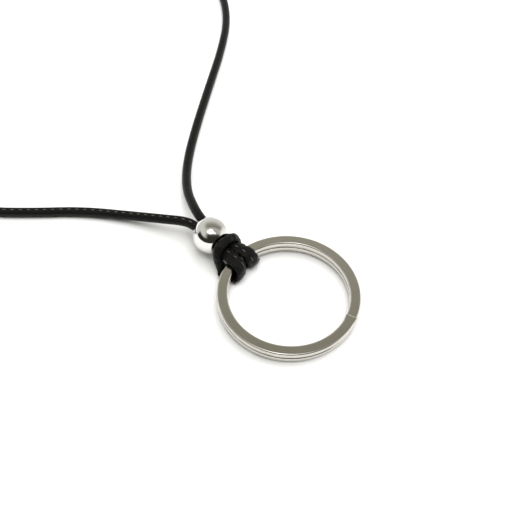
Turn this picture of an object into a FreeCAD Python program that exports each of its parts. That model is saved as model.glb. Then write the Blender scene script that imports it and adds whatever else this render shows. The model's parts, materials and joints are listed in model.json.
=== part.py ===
import FreeCAD, Part

# A split key ring on a cord lanyard: a flat spring-steel wire coiled in two turns, held by a
# cow hitch in a 2 mm cord whose two strands run through one steel bead.
#
# Frame: millimetres, +Z up, the surface it lies on at Z = 0, the ring's centre above the origin.
# The hitch passes under the ring, so the ring leans: its far edge touches the surface.

import math
import os
import re

import Sketcher
from FreeCAD import Placement, Rotation, Vector

os.makedirs("parts", exist_ok=True)
doc = FreeCAD.newDocument("split_key_ring")


# ---------------------------------------------------------------- driving dimensions

SIZES = [
    # the ring, one wire in two turns
    ("ring_outer_radius", 14.5, "outside of the coiled wire"),
    ("band_width", 2.2, "width of the flat wire, across the turns"),
    ("wire_height", 1.3, "thickness of the wire, one turn"),
    ("turn_gap", 0.1, "space between the two turns"),
    ("edge_round", 0.22, "rounded edges of the flat wire"),
    ("jog_length", 2.6, "stretch in which the wire climbs from turn to turn"),
    ("wire_tip", 0.14, "blunt height of each ground wire end"),
    ("jog_azimuth", 330.0, "where on the ring the wire ends meet"),
    ("flex_arc", 150.0, "arc of the upper turn that lifts at its free end"),
    # the hitch on the band
    ("hitch_azimuth", 140.0, "middle of the hitch on the ring"),
    ("hitch_arc", 25.0, "arc of the ring that the hitch covers"),
    ("band_clearance", 0.1, "between the cord and the wire that slides in it"),
    ("cord_under_band", 0.9, "flattened cord below the band"),
    ("cord_over_band", 1.7, "cord over the band"),
    ("cord_inside_band", 1.3, "cord round the band's inner edge"),
    ("cord_outside_band", 2.7, "cord between the band's outer edge and the bead"),
    ("hitch_round", 0.7, "rounded top edges of the hitch"),
    # the bead and the two strands in it
    ("cord_diameter", 2.0, "round stitched cord"),
    ("bead_radius", 4.0, "polished steel bead"),
    ("bead_azimuth", 139.0, "where the bead lies, seen from the ring's axis"),
    ("bead_heading", 131.0, "direction of the bead's hole, away from the ring"),
    ("strand_gap", 0.04, "between the two strands in the bead"),
    ("hole_clearance", 0.08, "between the strands and the bead's hole"),
    ("mouth_round", 0.3, "rounded mouths of the hole"),
    ("strand_in_hitch", 0.6, "length of each strand that the hitch covers"),
    ("strand_joint", 2.0, "from the bead's middle to where the free strands begin"),
    ("strand_bend", 4.6, "from the bead's middle to each strand's first corner"),
    # the stored length, coiled beside the object
    ("coil_inner_radius", 7.0, "inside of the innermost turn"),
    ("coil_columns", 4.0, "turns side by side"),
    ("coil_layers", 2.0, "turns one on another"),
    ("coil_x", -78.0, "middle of the coil"),
    ("coil_y", 130.0, "middle of the coil"),
    ("tie_width", 3.0, "width of the storage tie"),
    ("tie_thickness", 0.4, "thickness of the storage tie"),
    ("tie_azimuth", 300.0, "where on the coil the tie sits"),
]
ALIASES = re.compile(r"\b(" + "|".join(alias for alias, _, _ in SIZES) + r")\b")

sheet = doc.addObject("Spreadsheet::Sheet", "sizes")
for row, (alias, value, note) in enumerate(SIZES, start=1):
    sheet.set(f"A{row}", alias)
    sheet.set(f"B{row}", str(value))
    sheet.set(f"C{row}", note)
    sheet.setAlias(f"B{row}", alias)
doc.recompute()


def size(alias):
    """The value of one cell of the sheet."""
    return float(getattr(sheet, alias))


def linked(expression):
    """An expression in which each alias reads its cell of the sheet."""
    return ALIASES.sub(r"sizes.\1", expression)


# What several pieces share, as expressions of the sheet's cells.
RING_INSIDE = "(ring_outer_radius - band_width)"
PITCH = "(wire_height + turn_gap)"
RING_HEIGHT = "(2 * wire_height + turn_gap)"
HOLE_RADIUS = "(cord_diameter + strand_gap / 2 + hole_clearance)"
COIL_OUTSIDE = "(coil_inner_radius + coil_columns * cord_diameter)"
COIL_HEIGHT = "(coil_layers * cord_diameter)"
TIP_RUN = f"((turn_gap + wire_tip) * jog_length / {PITCH})"
REACH = 3.0  # how far a cutting tool runs past what it cuts


# ---------------------------------------------------------------- where things stand

ring_middle = size("ring_outer_radius") - size("band_width") / 2
lean = math.degrees(math.asin(size("cord_under_band") / (size("ring_outer_radius") + ring_middle)))
ring_lift = size("ring_outer_radius") * math.sin(math.radians(lean))


def heading(azimuth):
    """The level direction at an azimuth in degrees."""
    return Vector(math.cos(math.radians(azimuth)), math.sin(math.radians(azimuth)), 0)


def turned(azimuth):
    return Rotation(Vector(0, 0, 1), azimuth)


leaning = Placement(Vector(0, 0, ring_lift), Rotation(heading(size("hitch_azimuth") + 90), -lean))


def on_ring(azimuth):
    """The placement of a piece made about the ring's axis, its middle turned to an azimuth."""
    return leaning.multiply(Placement(Vector(0, 0, 0), turned(azimuth)))


# ---------------------------------------------------------------- small makers


def primitive(kind, name, **properties):
    """A Part primitive whose sizes are bound to expressions."""
    thing = doc.addObject(f"Part::{kind}", name)
    for property_name, expression in properties.items():
        thing.setExpression(property_name, linked(str(expression)))
    return thing


def boolean(kind, name, base, tool):
    """Part::Cut or Part::Common of two objects."""
    thing = doc.addObject(f"Part::{kind}", name)
    thing.Base = base
    thing.Tool = tool
    return thing


def fuse(name, *shapes):
    thing = doc.addObject("Part::MultiFuse", name)
    thing.Shapes = list(shapes)
    thing.Refine = True
    return thing


def rectangle(body, name, left, right, low, high):
    """A rectangle in the body's XZ plane, each side's distance from the axes an expression."""
    sketch = body.newObject("Sketcher::SketchObject", name)
    plane = next(p for p in body.Origin.OriginFeatures if p.Role == "XZ_Plane")
    sketch.AttachmentSupport = [(plane, "")]
    sketch.MapMode = "FlatFace"
    corners = [Vector(1, 1, 0), Vector(2, 1, 0), Vector(2, 2, 0), Vector(1, 2, 0)]
    for corner, following in zip(corners, corners[1:] + corners[:1]):
        sketch.addGeometry(Part.LineSegment(corner, following), False)
    for line, direction in enumerate(("Horizontal", "Vertical") * 2):
        sketch.addConstraint(Sketcher.Constraint(direction, line))
        sketch.addConstraint(Sketcher.Constraint("Coincident", line, 2, (line + 1) % 4, 1))
    for direction, line, expression in (
        ("DistanceX", 0, left),
        ("DistanceX", 1, right),
        ("DistanceY", 0, low),
        ("DistanceY", 2, high),
    ):
        number = sketch.addConstraint(Sketcher.Constraint(direction, -1, 1, line, 1, 1.5))
        sketch.setExpression(f"Constraints[{number}]", linked(expression))
    return sketch


def revolved(body, name, sketch, kind="Revolution", angle="360"):
    """Turn a sketch about the body's vertical axis, half the angle to each side."""
    feature = body.newObject(f"PartDesign::{kind}", name)
    feature.Profile = sketch
    feature.ReferenceAxis = (sketch, ["V_Axis"])
    feature.Midplane = True
    feature.setExpression("Angle", linked(angle))
    return feature


def rounded(body, name, feature, radius, wanted):
    """Fillet those edges of a feature that a test picks out."""
    doc.recompute()
    edges = [f"Edge{n}" for n, edge in enumerate(feature.Shape.Edges, start=1) if wanted(edge)]
    fillet = body.newObject("PartDesign::Fillet", name)
    fillet.Base = (feature, edges)
    fillet.setExpression("Radius", linked(radius))
    body.Tip = fillet
    return fillet


def label(thing, name, placement=None):
    thing.Label = name
    if placement is not None:
        thing.Placement = placement
    return thing


# ---------------------------------------------------------------- the ring


def whole_turn(name, low, high):
    """One closed turn of the rounded flat wire, before its ends are cut."""
    body = doc.addObject("PartDesign::Body", name)
    sketch = rectangle(body, f"{name}_section", RING_INSIDE, "ring_outer_radius", low, high)
    turn = revolved(body, f"{name}_turn", sketch)
    rounded(body, f"{name}_edges", turn, "edge_round", lambda edge: isinstance(edge.Curve, Part.Circle))
    return body


def jog_wedge(name, low_start, high_start, low_end, high_end):
    """A slice across the band that climbs with the jog, from its start to its end."""
    inner = f"{RING_INSIDE} - {REACH}"
    outer = f"ring_outer_radius + {REACH}"
    return primitive(
        "Wedge",
        name,
        Xmin=inner,
        X2min=inner,
        Xmax=outer,
        X2max=outer,
        Ymin="0 - jog_length / 2",
        Ymax="jog_length / 2",
        Zmin=low_start,
        Zmax=high_start,
        Z2min=low_end,
        Z2max=high_end,
    )


def band_block(name, start, length):
    """A block across the whole band, from a distance along the jog."""
    block = primitive(
        "Box",
        name,
        Length=f"band_width + {2 * REACH}",
        Width=length,
        Height=f"{RING_HEIGHT} + {2 * REACH}",
    )
    block.setExpression("Placement.Base.x", linked(f"{RING_INSIDE} - {REACH}"))
    block.setExpression("Placement.Base.y", linked(start))
    block.setExpression("Placement.Base.z", f"0 - {REACH}")
    return block


def make_ring():
    """The wire in two pieces: what stays, and the half turn that lifts at the free end.

    They are made with the jog's middle on +X. The wire climbs from the lower turn to the upper
    one as it runs anticlockwise, and each of its ends is ground to a wedge beside the climb.
    """
    lower = whole_turn("lower_turn", "0", "wire_height")
    upper = whole_turn("upper_turn", PITCH, RING_HEIGHT)
    both = whole_turn("both_turns", "0", RING_HEIGHT)

    climb = jog_wedge("climb_shape", "0", "wire_height", PITCH, RING_HEIGHT)
    climbing_wire = boolean("Common", "climbing_wire", both, climb)

    over_lower_end = jog_wedge(
        "over_lower_end", "0 - turn_gap", RING_HEIGHT, "wire_height", f"{RING_HEIGHT} + {REACH}"
    )
    lower_tip = band_block("lower_tip", "0 - jog_length / 2", TIP_RUN)
    lower_wire = boolean("Cut", "lower_wire", lower, fuse("lower_end_cut", over_lower_end, lower_tip))

    flexing = primitive("Cylinder", "flexing_sector", Radius=f"ring_outer_radius + {REACH}",
                        Height=f"{RING_HEIGHT} + {REACH}", Angle="flex_arc")
    flexing.setExpression("Placement.Rotation.Angle", linked("0 - flex_arc"))
    beside_jog = band_block("beside_jog", "0", "jog_length / 2")
    flexing_zone = fuse("flexing_zone", flexing, beside_jog)
    upper_wire = boolean("Cut", "upper_wire", upper, flexing_zone)

    under_upper_end = jog_wedge("under_upper_end", "0 - turn_gap", PITCH, "0", f"2 * {PITCH}")
    upper_tip = band_block("upper_tip", f"jog_length / 2 - {TIP_RUN}", f"jog_length + {TIP_RUN}")
    lifting_wire = boolean("Common", "lifting_wire", upper, flexing_zone)
    free_end_cut = fuse("free_end_cut", under_upper_end, upper_tip)

    place = on_ring(size("jog_azimuth"))
    ring = label(fuse("ring", lower_wire, climbing_wire, upper_wire), "split_ring", place)
    coil = label(boolean("Cut", "coil", lifting_wire, free_end_cut), "opening_coil", place)
    return [ring, coil]


# ---------------------------------------------------------------- the hitch


def make_hitch():
    """The cow hitch as one plain sleeve round the band, cut level where it lies on the surface."""
    body = doc.addObject("PartDesign::Body", "hitch_sleeve")
    inside = f"{RING_INSIDE} - cord_inside_band"
    outside = "ring_outer_radius + cord_outside_band"
    top = f"{RING_HEIGHT} + cord_over_band"
    sleeve_section = rectangle(body, "sleeve_section", inside, outside, "0 - 2 * cord_diameter", top)
    sleeve = revolved(body, "sleeve", sleeve_section, angle="hitch_arc")
    highest = 2 * size("wire_height") + size("turn_gap") + size("cord_over_band")
    edges = rounded(
        body, "sleeve_edges", sleeve, "hitch_round",
        lambda edge: all(abs(v.Z - highest) < 1e-6 for v in edge.Vertexes),
    )
    channel_section = rectangle(
        body,
        "channel_section",
        f"{RING_INSIDE} - band_clearance",
        "ring_outer_radius + band_clearance",
        "0 - band_clearance",
        f"{RING_HEIGHT} + band_clearance",
    )
    doc.recompute()
    before = edges.Shape.Volume
    channel = revolved(body, "channel", channel_section, kind="Groove", angle="2 * hitch_arc")
    body.Tip = channel
    doc.recompute()
    assert channel.Shape.Volume < before, "the channel cut nothing"
    body.Placement = on_ring(size("hitch_azimuth"))

    below = primitive("Box", "below_surface", Length="6 * ring_outer_radius",
                      Width="6 * ring_outer_radius", Height="4 * cord_diameter")
    below.setExpression("Placement.Base.x", linked("0 - 3 * ring_outer_radius"))
    below.setExpression("Placement.Base.y", linked("0 - 3 * ring_outer_radius"))
    below.setExpression("Placement.Base.z", linked("0 - 4 * cord_diameter"))
    return [label(boolean("Cut", "hitch", body, below), "hitch_knot")]


# ---------------------------------------------------------------- the bead

bead_out = heading(size("bead_heading"))
bead_side = heading(size("bead_heading") - 90)
hitch_outside = size("ring_outer_radius") + size("cord_outside_band")
bead_distance = hitch_outside + size("bead_radius")
bead_middle = bead_distance * heading(size("bead_azimuth")) + Vector(0, 0, size("bead_radius"))
strand_offset = (size("cord_diameter") + size("strand_gap")) / 2


def make_bead():
    """A ball with a hole for two strands, resting on the surface, its hole level."""
    ball = primitive("Sphere", "ball", Radius="bead_radius")
    hole = primitive("Cylinder", "hole", Radius=HOLE_RADIUS, Height="4 * bead_radius")
    hole.setExpression("Placement.Base.z", linked("0 - 2 * bead_radius"))
    drilled = boolean("Cut", "drilled_ball", ball, hole)
    doc.recompute()
    edges = enumerate(drilled.Shape.Edges, start=1)
    mouths = [n for n, edge in edges if isinstance(edge.Curve, Part.Circle) and edge.isClosed()]
    bead = doc.addObject("Part::Fillet", "rounded_bead")
    bead.Base = drilled
    bead.Edges = [(n, size("mouth_round"), size("mouth_round")) for n in mouths]
    along_hole = Rotation(Vector(0, 0, 1), bead_out)
    return [label(bead, "bead", Placement(bead_middle, along_hole))]


def in_bead(along, side):
    """A point on one strand's middle line through the bead: side is 1 for the upper strand."""
    return bead_middle + along * bead_out + side * strand_offset * bead_side


def make_inner_strands():
    """The two straight stretches of cord from the hitch through the bead."""
    near = size("bead_radius") + size("strand_in_hitch")
    strands = []
    for name, side in (("cord_in_bead_upper", 1), ("cord_in_bead_left", -1)):
        strand = primitive("Cylinder", name, Radius="cord_diameter / 2",
                           Height="bead_radius + strand_in_hitch + strand_joint")
        strand.Placement = Placement(in_bead(-near, side), Rotation(Vector(0, 0, 1), bead_out))
        strands.append(label(strand, name))
    return strands


# ---------------------------------------------------------------- the free cord

# Both strands come out of the bead at its middle's height and come down onto the surface, and the
# upper one climbs onto the coil's top layer. The points are where the runs meet after each
# strand's first corner, which is in line with the bead's hole. They are drawn for the bead and
# the coil at the places below: if a size moves one of these, the nearest points go with it.

ROUTE_BEAD = Vector(-16.0, 13.908, 4.0)
ROUTE_UPPER_END = Vector(-78.0, 144.0, 3.0)
ROUTE_LEFT_END = Vector(-92.0, 130.0, 1.0)
ROUTE_LYING = 1.0  # height of the cord's middle where it lies on the surface
UPPER_ROUTE = [
    (-20.2, 21.8, 3.7),
    (-22.6, 29.0, 2.2),
    (-23.15, 39.0, 1.0),
    (-21.7, 51.5, 1.0),
    (-19.2, 67.0, 1.0),
    (-16.6, 82.5, 1.0),
    (-15.3, 97.0, 1.0),
    (-17.3, 111.5, 1.0),
    (-23.8, 125.5, 1.0),
    (-35.0, 136.8, 1.0),
    (-49.5, 143.2, 1.3),
    (-64.0, 144.4, 2.4),
]
LEFT_ROUTE = [
    (-22.2, 18.04, 3.8),
    (-26.4, 19.2, 3.1),
    (-34.5, 21.6, 1.5),
    (-45.4, 23.4, 1.0),
    (-56.5, 23.0, 1.0),
    (-67.5, 23.2, 1.0),
    (-78.5, 27.5, 1.0),
    (-86.5, 38.0, 1.0),
    (-91.0, 52.5, 1.0),
    (-93.0, 68.0, 1.0),
    (-93.3, 84.0, 1.0),
    (-92.8, 99.5, 1.0),
    (-92.1, 115.0, 1.0),
]
CARRIED_POINTS = 5  # how many points at each end of a route go with what it meets
ARC_SHARE = 0.45  # how much of the shorter run each corner's arc takes up


def cord_tube(name, points):
    """A tube along straight runs joined by tangent arcs."""
    radius = size("cord_diameter") / 2
    edges, start, radii = [], points[0], []
    for before, corner, after in zip(points, points[1:], points[2:]):
        back, ahead = (before - corner), (after - corner)
        reach = ARC_SHARE * min(back.Length, ahead.Length)
        half_turn = (math.pi - back.getAngle(ahead)) / 2
        radii.append(reach / math.tan(half_turn))
        back.normalize()
        ahead.normalize()
        middle_way = back + ahead
        middle_way.normalize()
        centre = corner + middle_way * (radii[-1] / math.cos(half_turn))
        enter, leave = corner + back * reach, corner + ahead * reach
        edges.append(Part.LineSegment(start, enter).toShape())
        edges.append(Part.Arc(enter, centre - middle_way * radii[-1], leave).toShape())
        start = leave
    edges.append(Part.LineSegment(start, points[-1]).toShape())
    path = Part.Wire(edges)
    ring = Part.Wire(Part.makeCircle(radius, points[0], points[1] - points[0]))
    tube = path.makePipeShell([ring], True, False)
    expected = math.pi * radius**2 * path.Length
    print(f"{name}: {path.Length:.1f} mm, smallest radius {min(radii):.1f} mm, "
          f"volume {tube.Volume / expected:.4f} of section times length")
    thing = doc.addObject("Part::Feature", name)
    thing.Shape = tube
    return label(thing, name)


def carried(route, drawn_end, end):
    """A route's points, moved with the bead at its start and with the coil at its end."""
    lying = size("cord_diameter") / 2
    bead_move, end_move = bead_middle - ROUTE_BEAD, end - drawn_end
    points = []
    for number, drawn in enumerate(route):
        with_bead = max(0.0, 1 - number / CARRIED_POINTS)
        with_end = max(0.0, 1 - (len(route) - 1 - number) / CARRIED_POINTS)
        point = Vector(*drawn) + with_bead * bead_move + with_end * end_move
        nearer_height = bead_middle.z if with_bead > 0 else end.z
        drawn_height = ROUTE_BEAD.z if with_bead > 0 else drawn_end.z
        climb = (drawn[2] - ROUTE_LYING) / max(drawn_height - ROUTE_LYING, 1.0)
        point.z = lying + climb * (nearer_height - lying)
        points.append(point)
    return points


def make_strands():
    coil_middle = Vector(size("coil_x"), size("coil_y"), 0)
    outer_turn = size("coil_inner_radius") + (size("coil_columns") - 0.5) * size("cord_diameter")
    top_turn = (size("coil_layers") - 0.5) * size("cord_diameter")
    bottom_turn = size("cord_diameter") / 2
    upper_end = coil_middle + outer_turn * heading(90) + Vector(0, 0, top_turn)
    left_end = coil_middle + outer_turn * heading(180) + Vector(0, 0, bottom_turn)
    strands = []
    for name, side, route, drawn_end, end in (
        ("cord_upper_strand", 1, UPPER_ROUTE, ROUTE_UPPER_END, upper_end),
        ("cord_left_strand", -1, LEFT_ROUTE, ROUTE_LEFT_END, left_end),
    ):
        in_line = [in_bead(size("strand_joint"), side), in_bead(size("strand_bend"), side)]
        strands.append(cord_tube(name, in_line + carried(route, drawn_end, end) + [end]))
    return strands


# ---------------------------------------------------------------- the stored length


def make_coil():
    """The rest of the cord as the outer shape of its coil."""
    body = doc.addObject("PartDesign::Body", "coil_shape")
    section = rectangle(body, "coil_section", "coil_inner_radius", COIL_OUTSIDE, "0", COIL_HEIGHT)
    revolved(body, "coil_turns", section)
    return [label(body, "cord_coil", Placement(Vector(size("coil_x"), size("coil_y"), 0), Rotation()))]


def make_tie():
    """A flat tie once round the coil's turns."""
    outer = primitive("Box", "tie_outer", Length=f"{COIL_OUTSIDE} - coil_inner_radius + 2 * tie_thickness",
                      Width="tie_width", Height=f"{COIL_HEIGHT} + tie_thickness")
    outer.setExpression("Placement.Base.x", linked("coil_inner_radius - tie_thickness"))
    outer.setExpression("Placement.Base.y", linked("0 - tie_width / 2"))
    inner = primitive("Box", "tie_inner", Length=f"{COIL_OUTSIDE} - coil_inner_radius",
                      Width="2 * tie_width", Height=f"{COIL_HEIGHT} - tie_thickness")
    inner.setExpression("Placement.Base.x", linked("coil_inner_radius"))
    inner.setExpression("Placement.Base.y", linked("0 - tie_width"))
    inner.setExpression("Placement.Base.z", linked("tie_thickness"))
    place = Placement(Vector(size("coil_x"), size("coil_y"), 0), turned(size("tie_azimuth")))
    return [label(boolean("Cut", "tie", outer, inner), "storage_tie", place)]


# ---------------------------------------------------------------- build and write

pieces = make_ring() + make_hitch() + make_bead() + make_inner_strands()
pieces += make_strands() + make_coil() + make_tie()
doc.recompute()

for thing in doc.Objects:
    if "Invalid" in thing.State or "Error" in thing.State:
        raise RuntimeError(f"{thing.Name} didn't build: {thing.State}")
for piece in pieces:
    if piece.Shape.isNull() or not piece.Shape.isValid() or piece.Shape.Volume <= 0:
        raise RuntimeError(f"{piece.Label} has no sound solid")
    print(f"{piece.Label}: {len(piece.Shape.Solids)} solid, {piece.Shape.Volume:.2f} mm3")
    piece.Shape.exportStep(f"parts/{piece.Label}.step")

# The joints' axes, in the part's frame.
flex_azimuth = size("jog_azimuth") - size("flex_arc")
flex_point = size("ring_outer_radius") * heading(flex_azimuth)
flex_point.z = size("wire_height") + size("turn_gap")
print("ring axis", tuple(leaning.Rotation.multVec(Vector(0, 0, 1))), "through", tuple(leaning.Base))
print("coil hinge at", tuple(leaning.multVec(flex_point)),
      "along", tuple(leaning.Rotation.multVec(heading(flex_azimuth + 90))))
print("bead hole through", tuple(bead_middle), "along", tuple(bead_out))
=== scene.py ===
# %% [markdown]
# # A split key ring on a cord lanyard
#
# The object is a flat-wire split ring with a 2 mm black cord hitched to it, and one polished
# steel bead that holds the cord's two strands together. This lesson builds its looks around the
# finished CAD model: the model gives every size and place, and each piece made here but the ring's
# free half rides on one of the model's bodies, so that the bead spins and the rest of the ring
# still turns in its hitch.

import json
import math

import bpy
import numpy as np
from mathutils import Matrix, Vector


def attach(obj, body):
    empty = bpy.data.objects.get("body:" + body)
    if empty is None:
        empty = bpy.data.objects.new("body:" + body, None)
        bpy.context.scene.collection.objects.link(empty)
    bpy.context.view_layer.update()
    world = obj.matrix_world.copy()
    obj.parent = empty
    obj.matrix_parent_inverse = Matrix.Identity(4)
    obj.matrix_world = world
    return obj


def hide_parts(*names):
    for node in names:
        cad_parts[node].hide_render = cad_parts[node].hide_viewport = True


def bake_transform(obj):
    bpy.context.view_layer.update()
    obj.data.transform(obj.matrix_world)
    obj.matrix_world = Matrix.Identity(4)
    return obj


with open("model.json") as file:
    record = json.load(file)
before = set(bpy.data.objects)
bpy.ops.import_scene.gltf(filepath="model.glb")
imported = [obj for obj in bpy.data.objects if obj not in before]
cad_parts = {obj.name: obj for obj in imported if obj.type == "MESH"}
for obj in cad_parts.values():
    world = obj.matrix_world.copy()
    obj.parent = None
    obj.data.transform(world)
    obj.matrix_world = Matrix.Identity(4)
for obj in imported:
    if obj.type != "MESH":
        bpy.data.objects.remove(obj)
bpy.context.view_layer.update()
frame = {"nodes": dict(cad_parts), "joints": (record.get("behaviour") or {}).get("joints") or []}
joints = {joint["name"]: joint for joint in frame["joints"]}
MM = 0.001
print("nodes:", ", ".join(sorted(frame["nodes"])))

# %% [markdown]
# ## The camera
#
# The ring lies on a white table and is looked at from in front and well above. One camera with a
# 48 mm lens close to the object gives the same strong perspective as a telephone held over it. It
# is made first, because how much of the cord shows depends on it.

# %% Camera
scene = bpy.context.scene
camera = bpy.data.objects.new("camera", bpy.data.cameras.new("camera"))
scene.collection.objects.link(camera)
scene.camera = camera
camera.data.lens = 48
camera.data.clip_start = 1 * MM
camera.location = (-5.26 * MM, -81.08 * MM, 118.01 * MM)
looked_at = Vector((-5.26 * MM, 9.72 * MM, 0))
camera.rotation_euler = (looked_at - camera.location).to_track_quat("-Z", "Y").to_euler()
print("camera", round((looked_at - camera.location).length / MM), "mm from the ring")

# %% [markdown]
# ## The cord's route
#
# The cord is one neck lanyard, about 86 cm round. Both strands leave the bead side by side, come
# down onto the table and part. The rest of it is wound up beside the object. Such a cord could be
# simulated, but the lie of this one is known, so its route is a short list of points, and a
# smooth spline that follows them bends as a limp cord does.

# %% Where the strands leave the bead
CORD = 2.0 * MM
STRAND_OFFSET = 1.02 * MM
bead_middle = Vector(joints["bead_spin"]["pos_m"])
bead_out = Vector(joints["bead_spin"]["axis"])
bead_side = bead_out.cross(Vector((0, 0, 1)))


def in_bead(along, side):
    """A point on one strand's middle line through the bead; side is 1 for the upper strand."""
    return bead_middle + along * bead_out + side * STRAND_OFFSET * bead_side


UPPER_ROUTE = [
    (-0.0202, 0.0218, 0.0037),
    (-0.0226, 0.0290, 0.0022),
    (-0.02315, 0.0390, 0.0010),
    (-0.0217, 0.0515, 0.0010),
    (-0.0192, 0.0670, 0.0010),
    (-0.0166, 0.0825, 0.0010),
    (-0.0153, 0.0970, 0.0010),
    (-0.0173, 0.1115, 0.0010),
    (-0.0238, 0.1255, 0.0010),
    (-0.0350, 0.1368, 0.0010),
    (-0.0495, 0.1432, 0.0013),
    (-0.0640, 0.1444, 0.0024),
]
LEFT_ROUTE = [
    (-0.0222, 0.01804, 0.0038),
    (-0.0264, 0.0192, 0.0031),
    (-0.0345, 0.0216, 0.0015),
    (-0.0454, 0.0234, 0.0010),
    (-0.0565, 0.0230, 0.0010),
    (-0.0675, 0.0232, 0.0010),
    (-0.0785, 0.0275, 0.0010),
    (-0.0865, 0.0380, 0.0010),
    (-0.0910, 0.0525, 0.0010),
    (-0.0930, 0.0680, 0.0010),
    (-0.0933, 0.0840, 0.0010),
    (-0.0928, 0.0995, 0.0010),
    (-0.0921, 0.1150, 0.0010),
]
print("bead at", [round(v / MM, 1) for v in bead_middle], "mm")

# %% [markdown]
# The put-away length is a neat flat coil of two layers. The cord comes in on the outside of the
# lower layer, winds inward, climbs on top of its own inner turns and winds out again, so both its
# ends are on the outside. A loop makes the turns: the radius changes by one diameter a turn.

# %% The stored coil
COIL_MIDDLE = Vector((-78 * MM, 130 * MM, 0))
COIL_OUTER = 14 * MM
COIL_TURNS = 7.25
POINTS_PER_TURN = 16


def smooth_step(value, start, end):
    """0 before start, 1 after end, and an even S between them."""
    share = min(1.0, max(0.0, (value - start) / (end - start)))
    return share * share * (3 - 2 * share)


def coil_point(turn):
    """A point of the coil, counted in turns from where the lower layer starts."""
    inward = min(3.0, max(0.0, turn - 0.25))
    outward = sum(smooth_step(turn, start, start + 0.35) for start in (4, 5, 6))
    radius = COIL_OUTER + (outward - inward) * CORD
    height = CORD / 2 + CORD * smooth_step(turn, 3.05, 3.6)
    angle = math.pi - 2 * math.pi * turn
    return COIL_MIDDLE + Vector((radius * math.cos(angle), radius * math.sin(angle), height))


coil_count = round(COIL_TURNS * POINTS_PER_TURN) + 1
coil_points = [coil_point(number / POINTS_PER_TURN) for number in range(coil_count)]
print(len(coil_points), "points in the coil")

# %% [markdown]
# The two routes and the coil are joined into one row of points, from the bead round to the bead
# again. A NURBS spline is used because it never overshoots its points. Its line is then read off
# and spaced evenly, so that later steps can work with plain rows of numbers. The sewn coat stands
# a little proud of the cord's nominal thickness, so the line lies that much higher too.

# %% One spline for the whole cord
STRAND_START = 2.0 * MM
STRAND_BEND = 4.6 * MM
COAT_SWELL = 1.04
LINE_STEP = 0.4 * MM

cord_points = [in_bead(STRAND_START, 1), in_bead(STRAND_BEND, 1)]
cord_points += [Vector(point) for point in UPPER_ROUTE] + coil_points[::-1]
cord_points += [Vector(point) for point in LEFT_ROUTE[::-1]]
cord_points += [in_bead(STRAND_BEND, -1), in_bead(STRAND_START, -1)]


def spline_line(points, resolution=12):
    """The smooth line of a NURBS spline with these control points."""
    curve = bpy.data.curves.new("route", "CURVE")
    curve.dimensions = "3D"
    spline = curve.splines.new("NURBS")
    spline.points.add(len(points) - 1)
    for spline_point, point in zip(spline.points, points):
        spline_point.co = (*point, 1)
    spline.order_u = 3
    spline.use_endpoint_u = True
    spline.resolution_u = resolution
    holder = bpy.data.objects.new("route", curve)
    mesh = bpy.data.meshes.new_from_object(holder)
    line = np.array([vertex.co for vertex in mesh.vertices])
    bpy.data.objects.remove(holder)
    bpy.data.curves.remove(curve)
    bpy.data.meshes.remove(mesh)
    return line


def distances(line):
    """How far along the line each of its points is."""
    steps = np.linalg.norm(np.diff(line, axis=0), axis=1)
    return np.concatenate([[0], np.cumsum(steps)])


def even(line, step):
    """The same line with its points evenly spaced."""
    along = distances(line)
    wanted = np.linspace(0, along[-1], round(along[-1] / step) + 1)
    return np.stack([np.interp(wanted, along, line[:, axis]) for axis in range(3)], axis=1)


cord_line = even(spline_line(cord_points), LINE_STEP)
cord_line[:, 2] += (COAT_SWELL - 1) * CORD / 2
cord_length = distances(cord_line)[-1]
print(f"cord: {cord_length:.3f} m in {len(cord_line)} points")

# %% [markdown]
# ## Skins
#
# Nearly every piece of this object is one outline carried along a line: the flat wire round the
# ring, the cord along its route, the bead's profile round its hole. So one helper lays a skin of
# quads over a row of outlines, and writes real lengths into the UV map: U runs along the piece,
# V round its outline. The materials use them later for grain that follows the piece.

# %% Skin helper
def face_outward(mesh):
    """Turn all faces over if the mesh is inside out, which shows as a negative volume."""
    volume = 0.0
    for face in mesh.polygons:
        corner = mesh.vertices[face.vertices[0]].co
        volume += corner.dot(face.normal) * face.area
    if volume < 0:
        mesh.flip_normals()


def placed(name, mesh):
    """A smooth object of this mesh in the scene, with its faces outward."""
    face_outward(mesh)
    mesh.shade_smooth()
    piece = bpy.data.objects.new(name, mesh)
    scene.collection.objects.link(piece)
    return piece


def skin_lengths(outlines, rows):
    """How far each outline is along the skin, and each point round its middle outline."""
    count, around = len(outlines), len(outlines[0])
    middles = [sum((Vector(point) for point in outline), Vector()) / around for outline in outlines]
    along = [0.0]
    for number in range(rows):
        along.append(along[-1] + (middles[(number + 1) % count] - middles[number]).length)
    typical = [Vector(point) for point in outlines[count // 2]]
    turn = [0.0]
    for number in range(around):
        turn.append(turn[-1] + (typical[(number + 1) % around] - typical[number]).length)
    return along, turn


def skin(name, outlines, capped=False, closed=False):
    """A mesh over a row of outlines with the same number of points each."""
    count, around = len(outlines), len(outlines[0])
    vertices = [tuple(point) for outline in outlines for point in outline]
    rows = count if closed else count - 1
    faces, lengths = [], []
    along, turn = skin_lengths(outlines, rows)
    for row in range(rows):
        for column in range(around):
            ahead, beside = (row + 1) % count, (column + 1) % around
            faces.append((row * around + column, row * around + beside,
                          ahead * around + beside, ahead * around + column))
            lengths += [(along[row], turn[column]), (along[row], turn[column + 1]),
                        (along[row + 1], turn[column + 1]), (along[row + 1], turn[column])]
    if capped:
        faces.append(tuple(range(around))[::-1])
        faces.append(tuple((count - 1) * around + column for column in range(around)))
        lengths += [(0.0, 0.0)] * (2 * around)
    mesh = bpy.data.meshes.new(name)
    mesh.from_pydata(vertices, [], faces)
    layer = mesh.uv_layers.new(name="lengths")
    layer.data.foreach_set("uv", [value for pair in lengths for value in pair])
    return placed(name, mesh)


print("skin helper ready")

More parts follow.
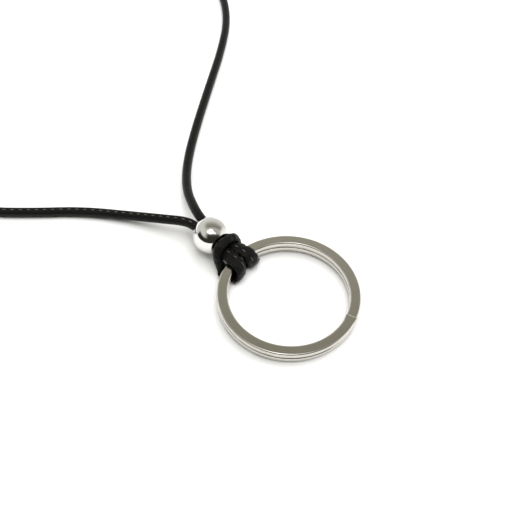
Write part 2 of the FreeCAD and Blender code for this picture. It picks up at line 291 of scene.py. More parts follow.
# %% [markdown]
# ## Finishes
#
# Every material is built from nodes. Written out node by node that is long, so a small class
# wraps a socket: adding or multiplying such values adds Math nodes, and the finish's own `node`
# method adds any other kind. Numbers that don't change over a surface go straight onto the
# shader's sockets.

# %% Values and finishes
class Value:
    """A socket of a node tree. Arithmetic on it adds Math nodes."""

    def __init__(self, finish, socket):
        self.finish = finish
        self.socket = socket

    def math(self, operation, *others):
        return self.finish.node("ShaderNodeMath", {"operation": operation}, [self, *others])

    def __add__(self, other):
        return self.math("ADD", other)

    def __sub__(self, other):
        return self.math("SUBTRACT", other)

    def __rsub__(self, other):
        return self.finish.node("ShaderNodeMath", {"operation": "SUBTRACT"}, [other, self])

    def __mul__(self, other):
        return self.math("MULTIPLY", other)

    __radd__ = __add__
    __rmul__ = __mul__

    def between(self, low, high):
        """0 where the value is at low, 1 where it is at high, smooth between."""
        settings = {"interpolation_type": "SMOOTHSTEP"}
        inputs = {"Value": self, "From Min": low, "From Max": high}
        return self.finish.node("ShaderNodeMapRange", settings, inputs)


class Finish:
    """One material or world, and the nodes in it."""

    def __init__(self, owner, shader="Principled BSDF"):
        owner.use_nodes = True
        self.owner = owner
        self.tree = owner.node_tree
        self.shader = self.tree.nodes[shader]

    def node(self, kind, settings=None, inputs=(), output=0):
        """Add a node: its settings, its sockets' values or links, and which output is wanted."""
        made = self.tree.nodes.new(kind)
        for name, value in (settings or {}).items():
            if name == "stops":
                self.set_stops(made.color_ramp, value)
            else:
                setattr(made, name, value)
        pairs = inputs.items() if isinstance(inputs, dict) else enumerate(inputs)
        for name, value in pairs:
            self.feed(made.inputs[name], value)
        return Value(self, made.outputs[output])

    def set_stops(self, ramp, stops):
        """The ramp's stops, each a place from 0 to 1 and a colour."""
        for number, (place, colour) in enumerate(stops):
            stop = ramp.elements[number] if number < 2 else ramp.elements.new(place)
            stop.position, stop.color = place, (*colour, 1)

    def feed(self, socket, value):
        """Link a socket to a value, or set it to a plain number, colour or vector."""
        if isinstance(value, Value):
            self.tree.links.new(value.socket, socket)
        else:
            socket.default_value = value

    def set(self, **sockets):
        """Set or link sockets of the main shader; an underscore stands for a space."""
        for name, value in sockets.items():
            self.feed(self.shader.inputs[name.replace("_", " ")], value)

    def mix(self, share, first, second):
        """Two colours mixed by a value."""
        settings = {"data_type": "RGBA"}
        return self.node("ShaderNodeMix", settings, {0: share, 6: first, 7: second}, output=2)

    def noise(self, place, scale, detail=3.0, roughness=0.5):
        """Uneven values from 0 to 1; the scale is in waves per metre."""
        inputs = {"Vector": place, "Scale": scale, "Detail": detail, "Roughness": roughness}
        return self.node("ShaderNodeTexNoise", {}, inputs)

    def lengths(self, along=1.0, around=1.0):
        """The skin's own coordinates in metres, stretched each way."""
        place = self.node("ShaderNodeUVMap", {"uv_map": "lengths"})
        return self.node("ShaderNodeMapping", {}, {"Vector": place, "Scale": (along, around, 1.0)})

    def bump(self, height, distance):
        """A normal that leans as if the surface rose by this distance where the height is 1."""
        return self.node("ShaderNodeBump", {}, {"Height": height, "Distance": distance, "Strength": 1.0})


def finish(name):
    return Finish(bpy.data.materials.new(name))


def coat(piece, look):
    """Give a piece its material."""
    piece.data.materials.clear()
    piece.data.materials.append(look.owner)


print("finish helper ready")

# %% [markdown]
# ## Steel
#
# The ring is nickel-plated spring steel. The wire is rolled, so its faces are smooth but not
# mirrors, with faint lines along the wire and small uneven patches where the plating dulls the
# reflection. The bead is stainless steel, polished to a mirror, with the odd hair scratch. Both
# are metals: all their colour is in how they reflect, so the roughness carries the detail.

# %% Ring steel and bead steel
ring_steel = finish("ring_steel")
rolled = ring_steel.noise(ring_steel.lengths(along=0.04, around=1.0), 9000, detail=4)
clouds = ring_steel.noise(ring_steel.lengths(), 260, detail=2)
ring_steel.set(
    Base_Color=ring_steel.mix(clouds, (0.60, 0.58, 0.53, 1), (0.68, 0.66, 0.61, 1)),
    Metallic=1.0,
    Roughness=0.07 + 0.06 * rolled + 0.05 * clouds,
)

bead_steel = finish("bead_steel")
scratches = bead_steel.noise(bead_steel.lengths(along=0.05, around=1.0), 7000, detail=5)
bead_steel.set(
    Base_Color=(0.77, 0.765, 0.745, 1),
    Metallic=1.0,
    Roughness=0.03 + 0.05 * scratches.between(0.55, 0.75),
)
print("steels ready")

# %% [markdown]
# ## Cord, thread and tie
#
# The cord is round stitched imitation leather: a black coated strip folded round a core and sewn
# shut along one seam. Its coat is satin with a fine grain, and it creases across where it bends.
# The sewing thread is a little lighter and duller than the coat, so only its tops catch light.

# %% Cord, thread and tie
cord_coat = finish("cord_coat")
grain = cord_coat.noise(cord_coat.lengths(), 5200, detail=4, roughness=0.6)
creases = cord_coat.noise(cord_coat.lengths(along=1.0, around=0.25), 1500, detail=2)
worn = cord_coat.noise(cord_coat.lengths(), 300, detail=2)
cord_coat.set(
    Base_Color=cord_coat.mix(worn, (0.0025, 0.0025, 0.0025, 1), (0.006, 0.0057, 0.0053, 1)),
    Roughness=0.36 + 0.18 * grain,
    Specular_IOR_Level=0.16,
    Normal=cord_coat.bump(grain * 0.6 + creases, 0.07 * MM),
)

sewing_thread = finish("sewing_thread")
twist = sewing_thread.noise(sewing_thread.lengths(along=0.4), 9000)
sewing_thread.set(
    Base_Color=sewing_thread.mix(twist, (0.03, 0.03, 0.03, 1), (0.16, 0.16, 0.15, 1)),
    Roughness=0.5,
    Normal=sewing_thread.bump(twist, 0.02 * MM),
)

tie_web = finish("tie_web")
weave = tie_web.node("ShaderNodeTexWave", {"bands_direction": "DIAGONAL"},
                     {"Vector": tie_web.lengths(), "Scale": 900.0, "Distortion": 1.0})
tie_web.set(
    Base_Color=tie_web.mix(weave, (0.012, 0.012, 0.012, 1), (0.03, 0.03, 0.03, 1)),
    Roughness=0.75,
    Normal=tie_web.bump(weave, 0.05 * MM),
)
print("soft finishes ready")

# %% [markdown]
# ## The ring
#
# A split ring is one flat wire coiled twice. Close to its two ends the wire climbs from the lower
# turn to the upper one, and each end is ground to a wedge that lies beside the climb. It could be
# a curve with a bevel profile, but the wedges need an outline that changes along the wire, so the
# outlines are made one by one: their lower and upper heights follow from the place on the wire.

# %% Sizes of the wire
RING_OUTSIDE = 14.5 * MM
RING_INSIDE = 12.3 * MM
WIRE_HEIGHT = 1.3 * MM
TURN_GAP = 0.1 * MM
PITCH = WIRE_HEIGHT + TURN_GAP
EDGE_ROUND = 0.38 * MM
CORNER_STEPS = 5
THIN_ROUND = 0.45
FLAT_FROM = 1.12
JOG_AZIMUTH = 330.0
JOG_LENGTH = 2.6 * MM
JOG_GAP = 0.015 * MM
WIRE_TIP = 0.02 * MM
ring_joint = joints["ring_turn"]
ring_axis = Vector(ring_joint["axis"])
ring_lean = Vector((0, 0, 1)).rotation_difference(ring_axis).to_matrix().to_4x4()
ring_place = Matrix.Translation(ring_joint["pos_m"]) @ ring_lean


def wire_outline(azimuth, low, high):
    """The flat wire's rounded outline at an azimuth in degrees, with its faces kept flat."""
    rounding = min(EDGE_ROUND, THIN_ROUND * (high - low))
    flat = rounding * FLAT_FROM
    points = []
    for corner, (side, level) in enumerate(((1, 1), (-1, 1), (-1, -1), (1, -1))):
        radius = RING_OUTSIDE if side > 0 else RING_INSIDE
        height = high if level > 0 else low
        arc = []
        for step in range(CORNER_STEPS + 1):
            angle = math.radians(90 * corner + 90 * step / CORNER_STEPS)
            arc.append((radius - side * rounding + rounding * math.cos(angle),
                        height - level * rounding + rounding * math.sin(angle)))
        before = (radius, height - level * flat) if side == level else (radius - side * flat, height)
        after = (radius - side * flat, height) if side == level else (radius, height - level * flat)
        points += [before, *arc, after]
    turn = math.radians(azimuth)
    return [ring_place @ Vector((r * math.cos(turn), r * math.sin(turn), z)) for r, z in points]


print("ring leans", round(math.degrees(ring_axis.angle(Vector((0, 0, 1)))), 2), "degrees")

# %% [markdown]
# The wire is walked in three stretches. The lower end is a wedge that grows under the climbing
# wire; then come the lower turn, the climb and the upper turn; and the upper end is a wedge above
# the climb. The wedges fit close, so the ends show as a fine line. The upper turn's free half is
# the part a thumbnail lifts. It is a piece of its own, and it starts under the hitch, where the
# joint between the two skins never shows.

# %% The wire's heights and its two skins
jog_half = math.degrees(JOG_LENGTH / 2 / ((RING_OUTSIDE + RING_INSIDE) / 2))
tip_share = (JOG_GAP + WIRE_TIP) / PITCH
TURN_STEP = 1.25
JOG_STEP = 0.4
FREE_HALF_AZIMUTH = 140.0


def wire_heights(travel):
    """Lower and upper height of the wire, at a travel in degrees from the middle of the jog."""
    start = min(1.0, (travel + jog_half) / (2 * jog_half))
    climb = min(1.0, max(0.0, (travel - 360 + jog_half) / (2 * jog_half)))
    end = max(0.0, (travel - 720 + jog_half) / (2 * jog_half))
    low = PITCH * climb
    high = low + WIRE_HEIGHT
    high = min(high, PITCH * start - JOG_GAP) if start < 1 else high
    low = max(low, WIRE_HEIGHT + JOG_GAP + PITCH * end) if end > 0 else low
    return low, high


def wire_piece(name, start, end):
    """A skin over the wire between two travels, with short steps near its ends and the climb."""
    travels, travel = [start], start
    while travel < end - 1e-6:
        near_jog = min(abs(travel - middle) for middle in (0, 360, 720)) < 2 * jog_half
        travel = min(end, travel + (JOG_STEP if near_jog else TURN_STEP))
        travels.append(travel)
    outlines = [wire_outline(JOG_AZIMUTH + travel, *wire_heights(travel)) for travel in travels]
    return skin(name, outlines, capped=True)


first_travel = -jog_half + 2 * jog_half * tip_share
last_travel = 720 + jog_half - 2 * jog_half * tip_share
under_hitch = 720 - (JOG_AZIMUTH - FREE_HALF_AZIMUTH)
lower_wire = wire_piece("ring_wire", first_travel, under_hitch)
free_wire = wire_piece("ring_free_half", under_hitch, last_travel)
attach(lower_wire, "ring")
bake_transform(free_wire)
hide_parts("split_ring")
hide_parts("opening_coil")
for piece in (lower_wire, free_wire):
    coat(piece, ring_steel)
print(len(lower_wire.data.vertices) + len(free_wire.data.vertices), "points in the ring")

# %% [markdown]
# ## The bead
#
# The bead is a ball with one hole for both strands. A round outline with rounded mouths is turned
# about the hole's own axis, so the seams of the mesh run along the hole and the polished outside
# has no pole that a mirror finish would show.

# %% Bead
BEAD_RADIUS = 4.0 * MM
HOLE_RADIUS = 2.1 * MM
MOUTH_ROUND = 0.3 * MM
OUTSIDE_STEPS = 64
MOUTH_STEPS = 9
WALL_STEPS = 8


def bead_profile():
    """Half the bead's section: (distance along the hole, distance from its axis)."""
    middle_radius = HOLE_RADIUS + MOUTH_ROUND
    reach = math.sqrt((BEAD_RADIUS - MOUTH_ROUND) ** 2 - middle_radius**2)
    meets = math.atan2(middle_radius, reach)
    outside = []
    for step in range(OUTSIDE_STEPS + 1):
        angle = meets + (math.pi - 2 * meets) * step / OUTSIDE_STEPS
        outside.append((BEAD_RADIUS * math.cos(angle), BEAD_RADIUS * math.sin(angle)))
    mouth = []
    for step in range(1, MOUTH_STEPS):
        angle = meets - (math.pi / 2 + meets) * step / MOUTH_STEPS
        mouth.append((reach + MOUTH_ROUND * math.cos(angle), middle_radius + MOUTH_ROUND * math.sin(angle)))
    other_mouth = [(-x, r) for x, r in mouth]
    wall = [(reach * (1 - 2 * step / WALL_STEPS), HOLE_RADIUS) for step in range(WALL_STEPS + 1)]
    return outside + other_mouth + wall[::-1] + mouth[::-1]


def about_hole(along, distance, angle):
    """A point at a distance along the hole and from its axis, turned by an angle about it."""
    outward = math.cos(angle) * bead_side + math.sin(angle) * Vector((0, 0, 1))
    return bead_middle + along * bead_out + distance * outward


BEAD_STEPS = 128
bead_outlines = [
    [about_hole(along, distance, 2 * math.pi * step / BEAD_STEPS) for along, distance in bead_profile()]
    for step in range(BEAD_STEPS)
]
bead = skin("steel_bead", bead_outlines, closed=True)
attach(bead, "bead")
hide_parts("bead")
coat(bead, bead_steel)
print(len(bead.data.vertices), "points in the bead")

# %% [markdown]
# ## The stitched cord
#
# A round cord needs an outline that keeps one side up along its whole way, so that the seam stays
# where it should. The seam is a shallow groove in the outline, with more points near it. In the
# groove lie the stitches, each a small swelling of thread, made as pieces of one mesh.

# %% Frames along a line and the seamed outline
UP = np.array([0.0, 0.0, 1.0])


def unit(rows):
    """Each row at a length of 1."""
    return rows / np.maximum(np.linalg.norm(rows, axis=-1, keepdims=True), 1e-12)


def carried_frames(line):
    """The directions along, over and beside at each point, with as little twist as can be."""
    along = unit(np.gradient(line, axis=0))
    over = np.zeros_like(line)
    over[0] = unit(UP - along[0] * (UP @ along[0]))
    for number in range(1, len(line)):
        kept = over[number - 1]
        over[number] = unit(kept - along[number] * (kept @ along[number]))
    return along, over, np.cross(along, over)


SEAM_WIDTH = math.radians(13)
SEAM_DEPTH = 0.10
near_seam = [-40, -26, -16, -9, -4, 0, 4, 9, 16, 26, 40]
elsewhere = list(range(54, 320, 14))
OUTLINE_ANGLES = np.radians(np.array(near_seam + elsewhere))
groove = 1 - SEAM_DEPTH * np.exp(-((OUTLINE_ANGLES / SEAM_WIDTH) ** 2))


def cord_skin(name, course):
    """The cord's skin over a course: its line, the directions over and beside, the seam's angle
    from over, and half its width and height."""
    line, over, beside, seam, wide, high = course
    outlines = []
    for number, middle in enumerate(line):
        angle = OUTLINE_ANGLES + seam[number]
        out = np.outer(np.cos(angle) * high[number] * groove, over[number])
        out += np.outer(np.sin(angle) * wide[number] * groove, beside[number])
        outlines.append(middle + out)
    return skin(name, outlines, capped=True)


_, over, beside = carried_frames(cord_line)
print(len(OUTLINE_ANGLES), "points round the cord")

# %% [markdown]
# On the left strand the seam faces up, and on the upper strand it is turned away underneath; the
# cord takes up that half turn in the coil.

# %% Cord
STRAND_LENGTH = 0.17
SEAM_TURN = math.radians(150)
seam_angle = np.array([
    SEAM_TURN - SEAM_TURN * smooth_step(place, STRAND_LENGTH, cord_length - STRAND_LENGTH)
    for place in distances(cord_line)
])
half = np.full(len(cord_line), COAT_SWELL * CORD / 2)
cord_course = (cord_line, over, beside, seam_angle, half, half)
lanyard = cord_skin("lanyard_cord", cord_course)
coat(lanyard, cord_coat)
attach(lanyard, "cord")
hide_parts("cord_upper_strand", "cord_left_strand", "cord_coil")
print("lanyard:", len(lanyard.data.vertices), "points")

# %% [markdown]
# The stitches could be a texture, but each one is a real swelling that catches the light, so they
# are small bodies: five rings of six points, thin at both ends, sunk a little into the groove.

# %% Stitches
STITCH = 0.8 * MM
STITCH_STEP = 1.8 * MM
THREAD = 0.1 * MM
STITCH_RINGS = 5
STITCH_AROUND = 6
IN_GROOVE = 0.96


def stitch_ring(course, travelled, place, size):
    """One ring of points round a stitch, at a place along the cord."""
    line, over, beside, seam, wide, high = course
    number = min(len(line) - 1, np.searchsorted(travelled, place))
    cosine, sine = math.cos(seam[number]), math.sin(seam[number])
    up = cosine * over[number] + sine * beside[number]
    flank = cosine * beside[number] - sine * over[number]
    depth = np.linalg.norm([cosine * high[number], sine * wide[number]])
    middle = np.array([np.interp(place, travelled, line[:, axis]) for axis in range(3)])
    middle = middle + up * (IN_GROOVE * depth)
    angles = [2 * math.pi * step / STITCH_AROUND for step in range(STITCH_AROUND)]
    return [middle + size * (0.75 * math.cos(a) * up + 1.15 * math.sin(a) * flank) for a in angles]


def stitch_faces(base):
    """The faces over one stitch's rings, whose points start at number base."""
    starts = [base + row * STITCH_AROUND for row in range(STITCH_RINGS)]
    rings = [[start + step for step in range(STITCH_AROUND)] for start in starts]
    faces = []
    for ring, following in zip(rings, rings[1:]):
        for step in range(STITCH_AROUND):
            beside_step = (step + 1) % STITCH_AROUND
            faces.append((ring[step], ring[beside_step], following[beside_step], following[step]))
    return faces + [tuple(rings[0][::-1]), tuple(rings[-1])]


def stitch_mesh(name, course):
    """Small swellings of thread along a course's seam."""
    travelled = distances(course[0])
    vertices, faces = [], []
    for start in np.arange(STITCH_STEP, travelled[-1] - 2 * STITCH_STEP, STITCH_STEP):
        faces += stitch_faces(len(vertices))
        for row in range(STITCH_RINGS):
            share = row / (STITCH_RINGS - 1)
            size = THREAD * math.sin(math.pi * (0.12 + 0.76 * share))
            vertices += stitch_ring(course, travelled, start + STITCH * share, size)
    mesh = bpy.data.meshes.new(name)
    mesh.from_pydata([tuple(vertex) for vertex in vertices], [], faces)
    layer = mesh.uv_layers.new(name="lengths")
    for loop in mesh.loops:
        point = mesh.vertices[loop.vertex_index].co
        layer.data[loop.index].uv = (point.x, point.y + point.z)
    return placed(name, mesh)


lanyard_stitches = stitch_mesh("lanyard_stitches", cord_course)
coat(lanyard_stitches, sewing_thread)
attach(lanyard_stitches, "cord")
print("stitches:", len(lanyard_stitches.data.vertices), "points")

# %% [markdown]
# ## The hitch
#
# The cord is tied to the ring with a cow hitch. Both strands come from the bead and pass over the
# band side by side, round its inner edge and back underneath, where the band's weight presses
# them flat. They come up on the outside to the left and right of the strands and meet in a bar
# that lies across them. A knot given as a list of points either floats or cuts through itself, so
# it is only sketched, and then pulled tight: a small relaxation shortens the line, while it is kept
# out of the band, off the table and out of its own other turns.

# %% The place of the hitch and a first sketch
HITCH_AZIMUTH = math.radians(141)
UNDER_BAND = 0.9 * MM
hitch_out = Vector((math.cos(HITCH_AZIMUTH), math.sin(HITCH_AZIMUTH), 0))
hitch_right = hitch_out.cross(Vector((0, 0, 1)))


def at_hitch(right, out, up):
    """A point by the hitch in millimetres: to the right, out from the ring's axis, and up."""
    return hitch_right * right * MM + hitch_out * out * MM + Vector((0, 0, up * MM))


HALF_HITCH = [
    (1.1, 17.4, 4.0),
    (1.2, 16.4, 4.1),
    (1.35, 15.2, 4.3),
    (1.5, 13.6, 4.7),
    (1.7, 12.2, 4.5),
    (1.9, 11.5, 3.4),
    (2.1, 11.3, 2.0),
    (2.3, 11.6, 0.9),
    (2.6, 12.6, 0.45),
    (2.8, 13.8, 0.45),
    (3.0, 15.1, 0.7),
    (3.1, 16.1, 1.7),
    (3.1, 16.6, 3.3),
    (2.8, 16.8, 5.1),
    (1.8, 16.9, 6.3),
    (0.6, 16.8, 6.6),
]
INSIDE_BEAD = (1.0 * MM, -3.0 * MM)
SKETCH_STEP = 0.35 * MM
mirrored = [at_hitch(-right, out, up) for right, out, up in HALF_HITCH[::-1]]
sketch = [in_bead(along, 1) for along in INSIDE_BEAD] + [at_hitch(*point) for point in HALF_HITCH]
sketch += mirrored + [in_bead(along, -1) for along in INSIDE_BEAD[::-1]]
knot_line = even(spline_line(sketch), SKETCH_STEP)
print(f"knot: {distances(knot_line)[-1] / MM:.1f} mm of cord in {len(knot_line)} points")

# %% [markdown]
# The ring leans a little on its hitch, so whether a point is in the band is found in the ring's
# own frame. There the band is a plain box in section, and the nearest way out of it is easy.

# %% Where the band is
to_ring = np.array(ring_place.inverted())
from_ring = np.array(ring_place)
BAND_HIGH = 2 * WIRE_HEIGHT + TURN_GAP
BAND_MIDDLE = (RING_OUTSIDE + RING_INSIDE) / 2


def moved(points, matrix):
    """Points carried by a 4 by 4 matrix."""
    return points @ matrix[:3, :3].T + matrix[:3, 3]


def off_band(points, clearance):
    """Push points out until they are a clearance away from the band; also their gaps before."""
    local = moved(points, to_ring)
    distance = np.hypot(local[:, 0], local[:, 1])
    outward = local[:, :2] / distance[:, None]
    middle = np.array([BAND_MIDDLE, BAND_HIGH / 2])
    half_size = np.array([(RING_OUTSIDE - RING_INSIDE) / 2, BAND_HIGH / 2])
    section = np.stack([distance, local[:, 2]], axis=1) - middle
    beyond = np.abs(section) - half_size
    outside = np.maximum(beyond, 0)
    gap = np.linalg.norm(outside, axis=1) + np.minimum(beyond.max(axis=1), 0)
    across = np.where(beyond[:, :1] > beyond[:, 1:], [[1.0, 0.0]], [[0.0, 1.0]])
    away = np.where((outside.max(axis=1) > 0)[:, None], unit(outside), across) * np.sign(section)
    push = np.maximum(clearance - gap, 0)[:, None] * away
    local[:, :2] += outward * push[:, :1]
    local[:, 2] += push[:, 1]
    return moved(local, from_ring), gap


print("band", round((RING_OUTSIDE - RING_INSIDE) / MM, 2), "by", round(BAND_HIGH / MM, 2), "mm")

# %% [markdown]
# The cord is soft, so it is squeezed where it is held: under the band it has only 0.9 mm of
# height, and it spreads sideways by as much as it loses. How much room it takes is worked out
# from how far it is under the band, and the same number later shapes its outline.

# %% Squeeze
PRESSED = 0.72 * CORD / 2
UNDERNEATH = 0.46 * UNDER_BAND
HELD_WITHIN = 0.95 * MM
FREE_BEYOND = 0.8 * MM
MOST_SPREAD = 1.75


def squeeze(points):
    """Half the cord's height at each point: thin against the band, thinnest below it."""
    _, gap = off_band(points, 0)
    below = moved(points, to_ring)[:, 2] < 0
    free = np.clip((gap - HELD_WITHIN) / FREE_BEYOND, 0, 1)
    free = free * free * (3 - 2 * free)
    flat = np.where(below, UNDERNEATH, PRESSED)
    height = flat + (CORD / 2 - flat) * free
    for _ in range(6):
        height[1:-1] = 0.5 * height[1:-1] + 0.25 * (height[:-2] + height[2:])
    return height


def spread_width(height):
    """Half the cord's width where it is squeezed to this half height."""
    return CORD / 2 * np.minimum((CORD / 2 / height) ** 1.2, MOST_SPREAD)


print(f"half height {PRESSED / MM:.2f} mm on the band, {UNDERNEATH / MM:.2f} mm under it")

# %% [markdown]
# The relaxation is a few simple rules, applied in turn many times. Each point moves towards the
# middle of its two neighbours, which shortens the line; then whatever has come too close to
# another turn, the band, the bead or the table is pushed out again. The stretches inside the bead
# are held. It uses no random numbers, so it always ends in the same knot.

# %% Relax
SOFT = 0.95
SHORTEN = 0.22
PUSH_APART = 0.35
NEIGHBOURS = 9
HELD_POINTS = 12
MOUTH_POINTS = 18
BAND_CLEARANCE = 0.03 * MM
TABLE_CLEARANCE = 0.02 * MM
RESPACE_EVERY = 25
ROUNDS = 150


def apart_from_itself(line, height, rows, columns):
    """Push turns of the line apart where the cord would cut through itself."""
    width = spread_width(height)
    apart = line[rows] - line[columns]
    far = np.linalg.norm(apart, axis=1)
    side_by_side = np.maximum(height[rows], height[columns]) < 0.9 * CORD / 2
    room = np.where(side_by_side, width[rows] + width[columns], height[rows] + height[columns])
    wanted = SOFT * room
    close = np.nonzero(far < wanted)[0]
    push = apart[close] / far[close, None] * (wanted - far)[close, None] * PUSH_APART
    np.add.at(line, rows[close], push)
    np.add.at(line, columns[close], -push)


def off_bead(line):
    """Push the line off the bead's outside, apart from its two ends near the mouth."""
    from_ball = line - np.array(bead_middle)
    ball_gap = np.linalg.norm(from_ball, axis=1)
    into_ball = np.maximum(BEAD_RADIUS + 1.02 * CORD / 2 - ball_gap, 0)
    into_ball[:MOUTH_POINTS], into_ball[-MOUTH_POINTS:] = 0, 0
    return line + from_ball / ball_gap[:, None] * into_ball[:, None]


def pull_tight(line, rounds):
    """Shorten a line that is held at both ends, and keep it clear of band, table and itself."""
    line = line.copy()
    held = line.copy()
    count = len(line)
    rows, columns = np.triu_indices(count, NEIGHBOURS)
    for number in range(rounds):
        height = squeeze(line)
        line[1:-1] += SHORTEN * (0.5 * (line[:-2] + line[2:]) - line[1:-1])
        apart_from_itself(line, height, rows, columns)
        line, _ = off_band(line, height + BAND_CLEARANCE)
        line = off_bead(line)
        line[:, 2] = np.maximum(line[:, 2], height + TABLE_CLEARANCE)
        line[:HELD_POINTS], line[-HELD_POINTS:] = held[:HELD_POINTS], held[-HELD_POINTS:]
        if number % RESPACE_EVERY == RESPACE_EVERY - 1:
            line = even(line, distances(line)[-1] / (count - 1))
    return line


KNOT_STEP = 0.2 * MM
knot_line = pull_tight(knot_line, ROUNDS)
knot_line = even(spline_line([Vector(point) for point in knot_line[::2]], 6), KNOT_STEP)
print(f"pulled tight: {distances(knot_line)[-1] / MM:.1f} mm,"
      f" top {knot_line[:, 2].max() / MM + 1:.1f} mm above the table")

# %% [markdown]
# The knot's outline is flat towards the band, so over is the direction away from the middle of
# the band's section, smoothed along the line. Bent tightly, the coat gathers into small folds:
# the outline swells and narrows along the cord in two mixed waves, wider where it is lower. What
# lies on the table is flat there.

# %% Which way the knot's outline faces
def away_from_band(line, rounds=20):
    """The smoothed direction from the middle of the band's section to each point."""
    local = moved(line, to_ring)
    radial = np.hypot(local[:, 0], local[:, 1])
    section_middle = np.stack([local[:, 0], local[:, 1], 0 * radial], axis=1) / radial[:, None]
    section_middle = section_middle * BAND_MIDDLE
    section_middle[:, 2] = BAND_HIGH / 2
    away = unit(line - moved(section_middle, from_ring))
    for _ in range(rounds):
        away[1:-1] = unit(away[1:-1] + 0.5 * (away[:-2] + away[2:]))
    return away


knot_along, _, _ = carried_frames(knot_line)
from_band = away_from_band(knot_line)
knot_over = unit(from_band - knot_along * (from_band * knot_along).sum(axis=1)[:, None])
knot_beside = np.cross(knot_along, knot_over)
print(len(knot_line), "points along the knot")

# %% Knot
LONG_FOLD = 1.9 * MM
SHORT_FOLD = 1.17 * MM
KNOT_SEAM = math.radians(25)
phase = 2 * math.pi * distances(knot_line)
folds = 1 + 0.05 * np.sin(phase / LONG_FOLD) + 0.045 * np.sin(phase / SHORT_FOLD + 1)
half_high = squeeze(knot_line)
half_wide = spread_width(half_high) * folds
half_high = half_high * (2 - folds)
knot_seam = np.full(len(knot_line), KNOT_SEAM)
knot_course = (knot_line, knot_over, knot_beside, knot_seam, half_wide, half_high)


def lay_on_table(piece, lowest):
    """Flatten a piece where it would reach below a height."""
    for vertex in piece.data.vertices:
        vertex.co.z = max(vertex.co.z, lowest)


knot = cord_skin("cow_hitch", knot_course)
lay_on_table(knot, 0.03 * MM)
coat(knot, cord_coat)
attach(knot, "cord")
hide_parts("hitch_knot", "cord_in_bead_upper", "cord_in_bead_left")
knot_stitches = stitch_mesh("cow_hitch_stitches", knot_course)
lay_on_table(knot_stitches, 0.02 * MM)
coat(knot_stitches, sewing_thread)
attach(knot_stitches, "cord")
print("knot:", len(knot.data.vertices), "points")

# %% [markdown]
# ## The storage tie
#
# The coil is held by one closed strap of thin woven web, wrapped round all its turns. A torus
# would be round in section, so it is a rounded flat outline carried round the coil's own section.

# %% Tie
TIE_AZIMUTH = math.radians(300)
TIE_WIDTH = 3.0 * MM
TIE_THICKNESS = 0.32 * MM
TIE_CORNER = 0.9 * MM
TIE_LOW = 0.24 * MM
TIE_HIGH = 2 * CORD + 0.1 * MM
TIE_AROUND = 16
tie_out = Vector((math.cos(TIE_AZIMUTH), math.sin(TIE_AZIMUTH), 0))
tie_side = tie_out.cross(Vector((0, 0, 1)))


def tie_path(steps=12):
    """The strap's middle line round the coil's section, as distances out and up."""
    near, far = COIL_OUTER - 7.0 * MM + TIE_CORNER, COIL_OUTER + CORD / 2 - TIE_CORNER
    bottom, top = TIE_LOW + TIE_CORNER, TIE_HIGH - TIE_CORNER
    path = []
    for out, up, start in ((far, top, 0), (near, top, 90), (near, bottom, 180), (far, bottom, 270)):
        for step in range(steps + 1):
            angle = math.radians(start + 90 * step / steps)
            path.append((out + TIE_CORNER * math.cos(angle), up + TIE_CORNER * math.sin(angle)))
    return path


def rounded(value, power):
    """A cosine or sine bent towards a rectangle's, the more so the smaller the power."""
    return math.copysign(abs(value) ** power, value)


def strap(name, path, width, thickness):
    """A closed band: a flat outline with rounded edges at each place of the path."""
    outlines = []
    for number, (out, up) in enumerate(path):
        before, after = path[number - 1], path[(number + 1) % len(path)]
        run = Vector((after[0] - before[0], after[1] - before[1])).normalized()
        outline = []
        for step in range(TIE_AROUND):
            angle = 2 * math.pi * step / TIE_AROUND
            across = rounded(math.cos(angle), 0.3) * width / 2
            thick = rounded(math.sin(angle), 0.7) * thickness / 2
            place = tie_out * (out + run.y * thick) + Vector((0, 0, up - run.x * thick))
            outline.append(COIL_MIDDLE + place + tie_side * across)
        outlines.append(outline)
    return skin(name, outlines, closed=True)


tie = strap("storage_strap", tie_path(), TIE_WIDTH, TIE_THICKNESS)
coat(tie, tie_web)
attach(tie, "cord")
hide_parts("storage_tie")
print("strap round", len(tie_path()), "places")

# %% [markdown]
# ## The cord's length
#
# The lanyard is a free cord, and both its ends go into the bead. Its made length is printed
# beside the 0.86 m it is meant to have.

# %% Cord facts
print(f"declared 0.86 m, made {cord_length:.3f} m")

# %% [markdown]
# ## Table and light
#
# The table is plain white, and bright enough to leave the object almost alone on white. It is one
# large square: a floor with walls would show in the steel.

# %% Table
TABLE_HALF = 1.5


def table_top():
    """A square table top in the plane that the object lies on."""
    corners = [(x * TABLE_HALF, y * TABLE_HALF, 0) for x, y in ((-1, -1), (1, -1), (1, 1), (-1, 1))]
    mesh = bpy.data.meshes.new("table")
    mesh.from_pydata(corners, [], [(0, 1, 2, 3)])
    piece = bpy.data.objects.new("table", mesh)
    scene.collection.objects.link(piece)
    return piece


table = table_top()
table_white = finish("table_white")
table_white.set(Base_Color=(0.86, 0.86, 0.86, 1), Roughness=0.9, Specular_IOR_Level=0.1)
table.data.materials.append(table_white.owner)
print("table", 2 * TABLE_HALF, "m square")

# %% [markdown]
# What a mirror shows is the rest of the room: a ceiling that is grey overhead and lighter towards
# the far wall, light sides, the dim side of the room in front, and a lamp panel almost overhead
# with its glow to either side. Walls and lamps could be built as meshes round the table, but one
# sky made of soft patches does the same. The ramp runs over the head, from the far horizon at 0
# to the near one at 1.

# %% Room
room_world = bpy.data.worlds.new("room")
scene.world = room_world
room = Finish(room_world, "Background")
direction = room.node("ShaderNodeTexCoord", output=0)


def patch(towards, inner, outer):
    """1 inside a round patch of the sky about a direction, 0 outside, soft between."""
    middle = Vector(towards).normalized()
    settings = {"operation": "DOT_PRODUCT"}
    facing = room.node("ShaderNodeVectorMath", settings, [direction, tuple(middle)], output=1)
    return facing.between(math.cos(math.radians(outer)), math.cos(math.radians(inner)))


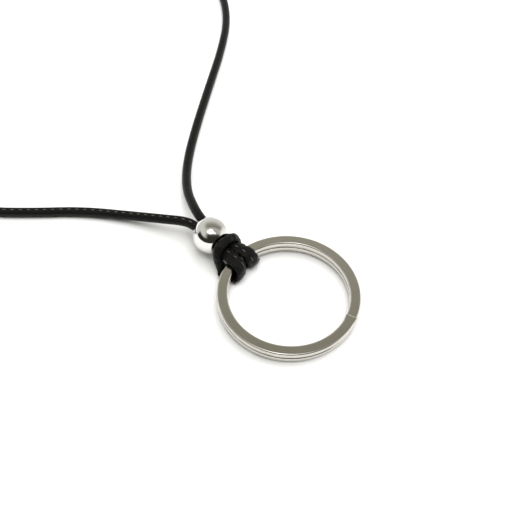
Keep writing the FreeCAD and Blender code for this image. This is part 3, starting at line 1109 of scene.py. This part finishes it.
across, ahead, above = [room.node("ShaderNodeSeparateXYZ", {}, [direction], output=n) for n in range(3)]
over_head = above.math("ARCTAN2", ahead) * (1 / math.pi)
arch = room.node("ShaderNodeValToRGB", {"stops": [
    (0.0, (0.80, 0.80, 0.77)),
    (1.0, (0.03, 0.03, 0.025)),
    (0.16, (0.74, 0.73, 0.68)),
    (0.25, (0.50, 0.49, 0.43)),
    (0.33, (0.33, 0.32, 0.27)),
    (0.42, (0.24, 0.235, 0.20)),
    (0.47, (0.50, 0.49, 0.45)),
    (0.66, (0.50, 0.49, 0.45)),
    (0.71, (0.10, 0.098, 0.085)),
    (0.78, (0.035, 0.033, 0.027)),
]}, [over_head])

LEFT_WALL = (0.75, 0.74, 0.69, 1)
RIGHT_WALL = (1.15, 1.15, 1.13, 1)
DIM_FRONT = (0.035, 0.033, 0.027, 1)
LAMPS = [
    ((-0.05, -0.29, 0.95), 6, 19, (3.4, 3.4, 3.3, 1)),
    ((-0.28, -0.27, 0.92), 2, 13, (1.9, 1.9, 1.85, 1)),
    ((0.16, -0.36, 0.92), 2, 12, (1.9, 1.9, 1.85, 1)),
    ((0.38, -0.42, 0.83), 2, 8, (1.5, 1.5, 1.45, 1)),
]
left_side = (0 - across).between(0.30, 0.75)
right_side = across.between(0.72, 0.97)
low_down = (0 - above).between(-0.52, -0.36)
in_front = (0 - ahead).between(-0.25, 0.05)
not_right = (0 - across).between(-0.5, -0.1)
sky = room.mix(left_side, arch, LEFT_WALL)
sky = room.mix(low_down * in_front * not_right, sky, DIM_FRONT)
sky = room.mix(right_side, sky, RIGHT_WALL)
for towards, inner, outer, colour in LAMPS:
    sky = room.mix(patch(towards, inner, outer), sky, colour)
room.set(Color=sky, Strength=1.0)
print("room with", len(LAMPS), "lamp patches")

# %% [markdown]
# The light on the table comes from one large panel almost straight above, a little behind and to
# the right. It is wider than it is far away, so shadows stay short and soft. It doesn't show in
# the steel, because the room's own lamp already does.

# %% Light panel
PANEL_PLACE = (0.14, 0.18, 0.70)
PANEL_SIDE = 0.9
PANEL_WATTS = 8.0

panel = bpy.data.lights.new("window", "AREA")
panel.shape = "RECTANGLE"
panel.size, panel.size_y = PANEL_SIDE, PANEL_SIDE
panel.energy = PANEL_WATTS
panel_holder = bpy.data.objects.new("window", panel)
panel_holder.location = PANEL_PLACE
panel_holder.rotation_euler = (-Vector(PANEL_PLACE)).to_track_quat("-Z", "Y").to_euler()
panel_holder.visible_glossy = False
scene.collection.objects.link(panel_holder)
scene.view_settings.view_transform = "Standard"
print(f"panel {Vector(PANEL_PLACE).length:.2f} m away")
